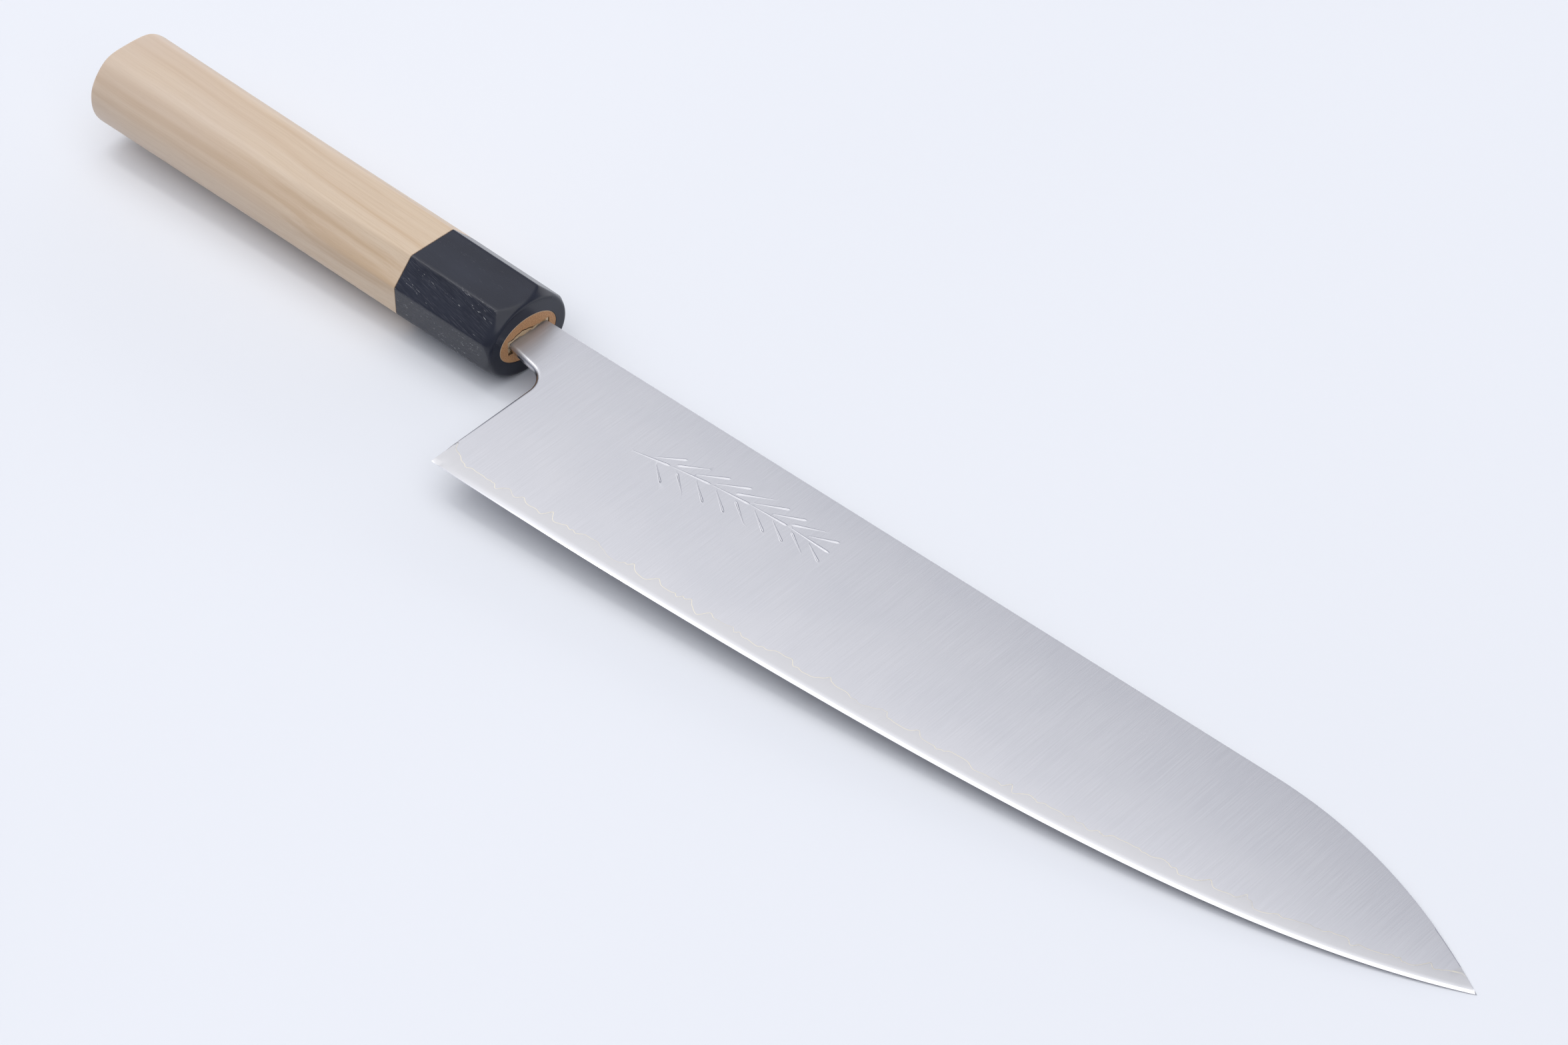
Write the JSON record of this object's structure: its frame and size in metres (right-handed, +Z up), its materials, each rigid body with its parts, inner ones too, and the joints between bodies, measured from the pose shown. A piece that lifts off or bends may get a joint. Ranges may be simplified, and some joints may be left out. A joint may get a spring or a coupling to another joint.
{
  "type": "chef knife",
  "caption": "Japanese chef knife with an octagonal ho-wood handle, a horn ferrule and a tall three-layer stainless blade, lying on its left side.",
  "frame": {"origin": "middle of the box at its lowest point: the table that the knife lies on, under the middle of its length and breadth", "axes": "+X from the butt to the tip, +Y from the cutting edge to the spine, +Z up, out of the right face of the blade. The knife lies on its left side, tipped 2.0 degrees forward about Y onto the ferrule and the tip, so the handle axis runs 2.0 degrees below +X. The blade is set 1.0 degree up from the handle axis in its own plane."},
  "size_m": [0.4286, 0.0588, 0.0261],
  "materials": {
    "core_steel": "fine satin brushed from spine to edge, polished bevel",
    "cladding_steel": "fine satin brushed from spine to edge",
    "ho_wood": "bare, sanded fine, faint brown streaks along the handle",
    "horn": "black buffalo horn, satin with fine lengthways scratches and pale flecks",
    "glue": "thin brown glue line",
    "resin": "clear yellowish resin",
    "shim_wood": "raw wood, end grain"
  },
  "bodies": {
    "root": {"core_steel": "core_steel", "right_cladding": "cladding_steel", "left_cladding": "cladding_steel", "handle_wood": "ho_wood", "horn_ferrule": "horn", "shoulder_glue": "glue", "tang_resin": "resin", "tang_shim": "shim_wood"}
  },
  "joints": []
}
